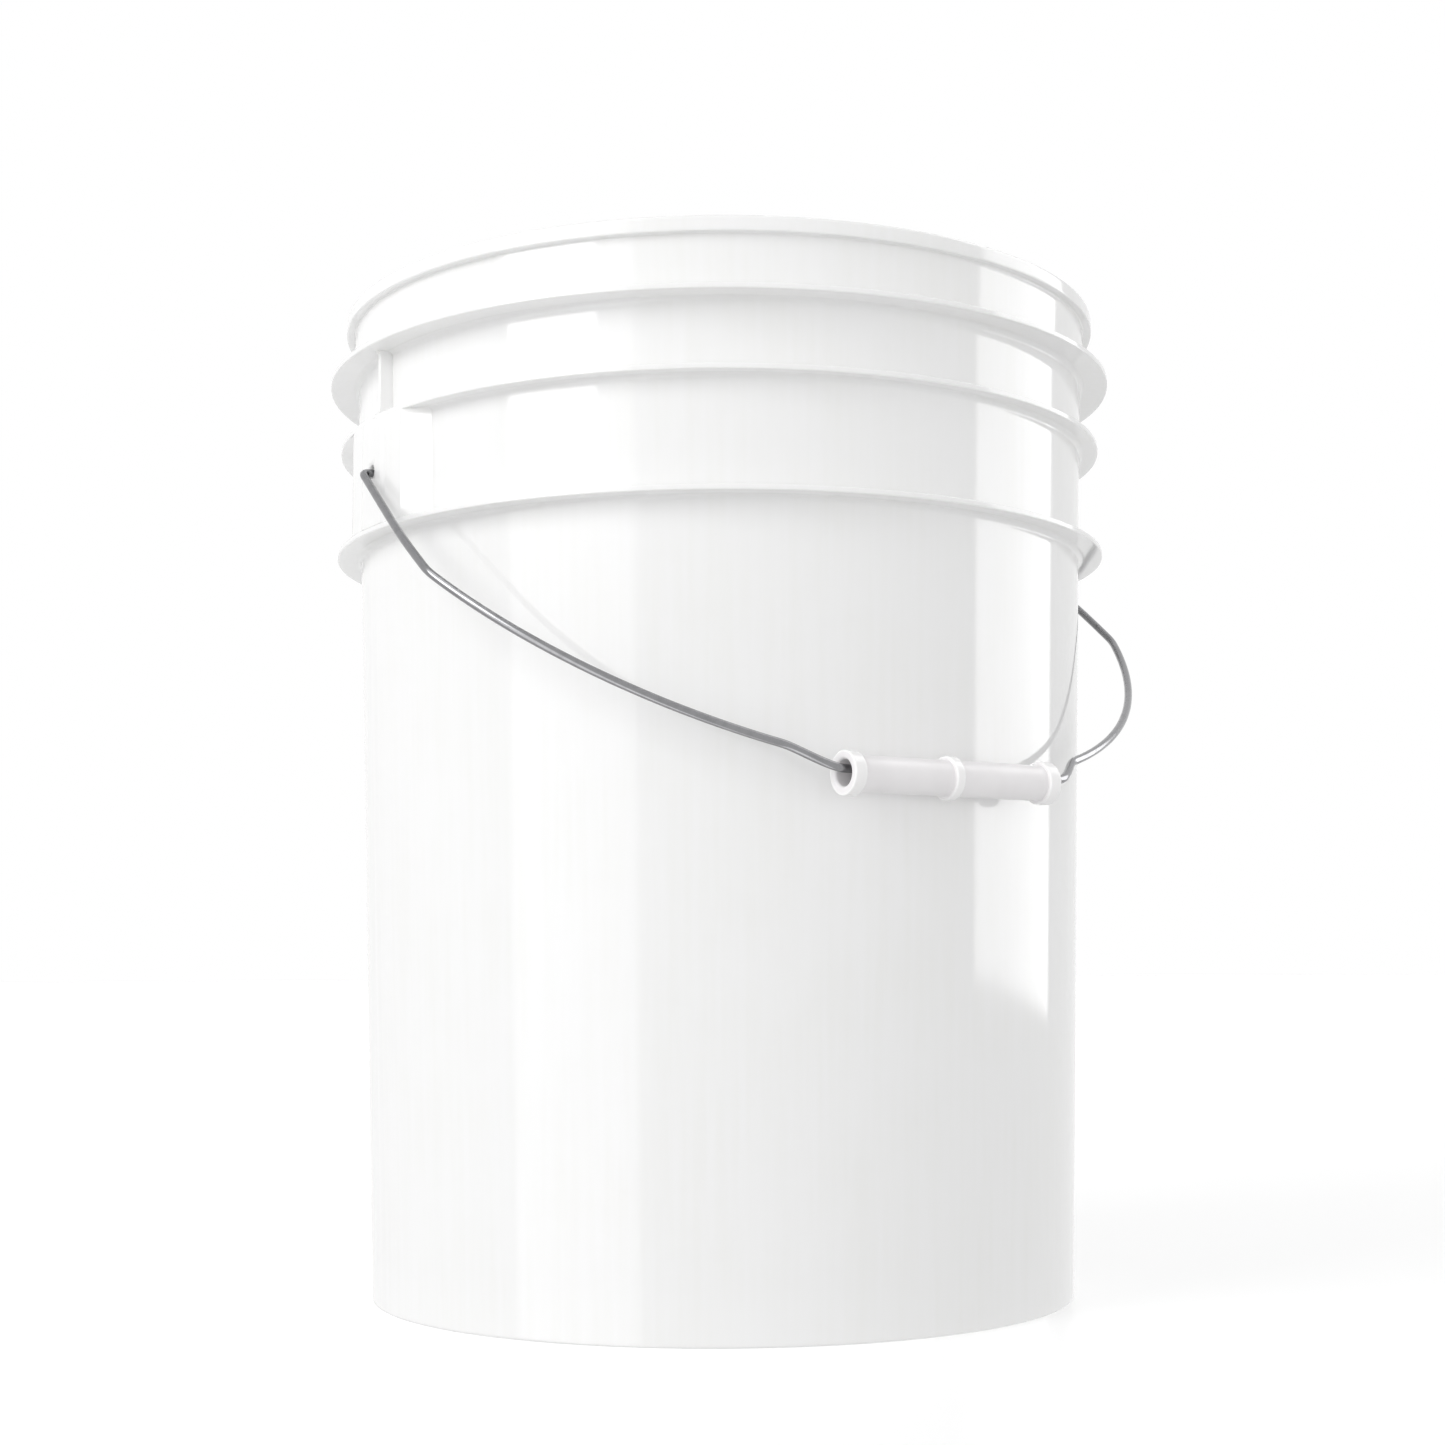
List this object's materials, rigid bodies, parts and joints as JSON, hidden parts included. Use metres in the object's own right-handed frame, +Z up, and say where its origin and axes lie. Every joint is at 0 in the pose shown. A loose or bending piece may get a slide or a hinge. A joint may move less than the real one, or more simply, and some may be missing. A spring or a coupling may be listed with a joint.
{
  "type": "fermenting bucket",
  "caption": "Tapered open-top plastic bucket for fermenting, with stacked stiffening rings, a rim for a press-on lid, and a hinged wire bail with a turning hand grip.",
  "frame": {"origin": "centre of the base, on the plane that the bucket stands on", "axes": "+Z up along the bucket's axis; X along the bail's pivot line, with an ear on each side; the bail hangs towards -Y"},
  "size_m": [0.3082, 0.3018, 0.368],
  "materials": {
    "bucket_plastic": "glossy as moulded white polyethylene",
    "bail_steel": "drawn wire with bright zinc plating",
    "grip_plastic": "satin moulded white plastic"
  },
  "bodies": {
    "bucket": {"bucket": "bucket_plastic"},
    "bail": {"bail_wire": "bail_steel"},
    "grip": {"grip": "grip_plastic"}
  },
  "joints": [
    {"name": "bail_swing", "type": "hinge", "parent": "bucket", "child": "bail", "pos_m": [0, 0, 0.2963], "axis": [-1, 0, 0], "range_deg": [0, 256.7]},
    {"name": "grip_spin", "type": "hinge", "parent": "bail", "child": "grip", "pos_m": [-0.0025, -0.14358, 0.18258], "axis": [1, 0, 0], "continuous": true}
  ]
}
